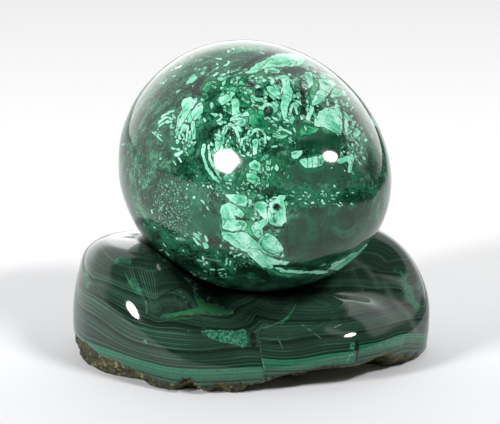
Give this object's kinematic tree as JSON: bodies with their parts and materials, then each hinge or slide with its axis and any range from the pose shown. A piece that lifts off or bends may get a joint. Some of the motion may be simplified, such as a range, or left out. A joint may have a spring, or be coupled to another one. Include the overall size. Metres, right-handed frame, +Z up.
{
  "type": "malachite egg",
  "caption": "Polished malachite egg lying on its side in the hollow of a freeform malachite stand with a rough underside.",
  "frame": {"origin": "on the flat ground part of the stand's underside, under the middle of the stand", "axes": "+Z up, -Y towards the viewer of the picture, +X to their right; the egg's narrow end points to -Y and +X"},
  "size_m": [0.0916, 0.0748, 0.08],
  "materials": {
    "egg_stone": "polished",
    "stand_stone": "polished, rough underneath"
  },
  "bodies": {
    "root": {"egg": "egg_stone", "stand": "stand_stone"}
  },
  "joints": []
}
